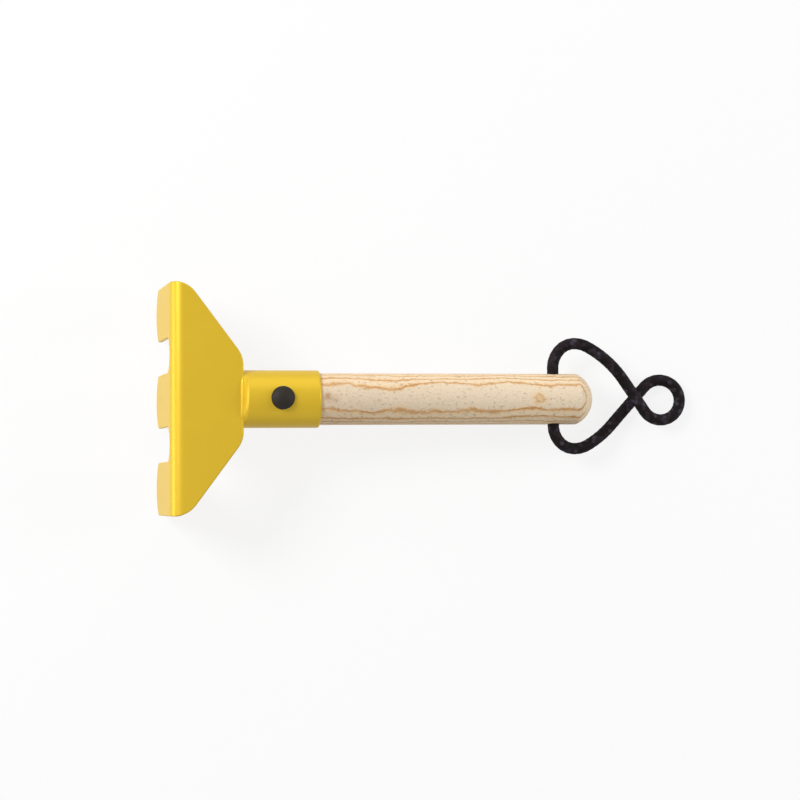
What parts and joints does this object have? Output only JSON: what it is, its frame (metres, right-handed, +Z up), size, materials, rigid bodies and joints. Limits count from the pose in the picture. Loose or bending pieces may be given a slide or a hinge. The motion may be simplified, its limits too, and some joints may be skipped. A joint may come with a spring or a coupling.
{
  "type": "sand rake",
  "caption": "Child's hand rake for sand: broad round-ended tines bent down from a painted sheet blade, on a wooden handle with a hanging loop of cord.",
  "frame": {"origin": "on the ground under the middle of the rake without its cord, as it lies on its tine tips and the lower edge of the butt", "axes": "+X from the tines towards the butt of the handle, +Z up, +Y to the left of someone who looks along +X"},
  "size_m": [0.2323, 0.0986, 0.0442],
  "materials": {
    "yellow_paint": "smooth satin powder coat, golden yellow",
    "bare_wood": "pale turned wood, sanded and lightly sealed",
    "black_steel": "satin black coated steel",
    "black_cord": "braided black cord"
  },
  "bodies": {
    "rake": {"blade": "yellow_paint", "socket": "yellow_paint", "weld_top": "yellow_paint", "weld_under": "yellow_paint", "handle": "bare_wood", "rivet_post": "black_steel", "rivet_pin": "black_steel"},
    "loop": {"hang_cord": "black_cord", "cord_joint": "black_cord"}
  },
  "joints": [
    {"name": "loop_swing", "type": "hinge", "parent": "rake", "child": "loop", "pos_m": [0.07792, 0, 0.01239], "axis": [0, 1, 0], "range_deg": [-155, 140]}
  ]
}
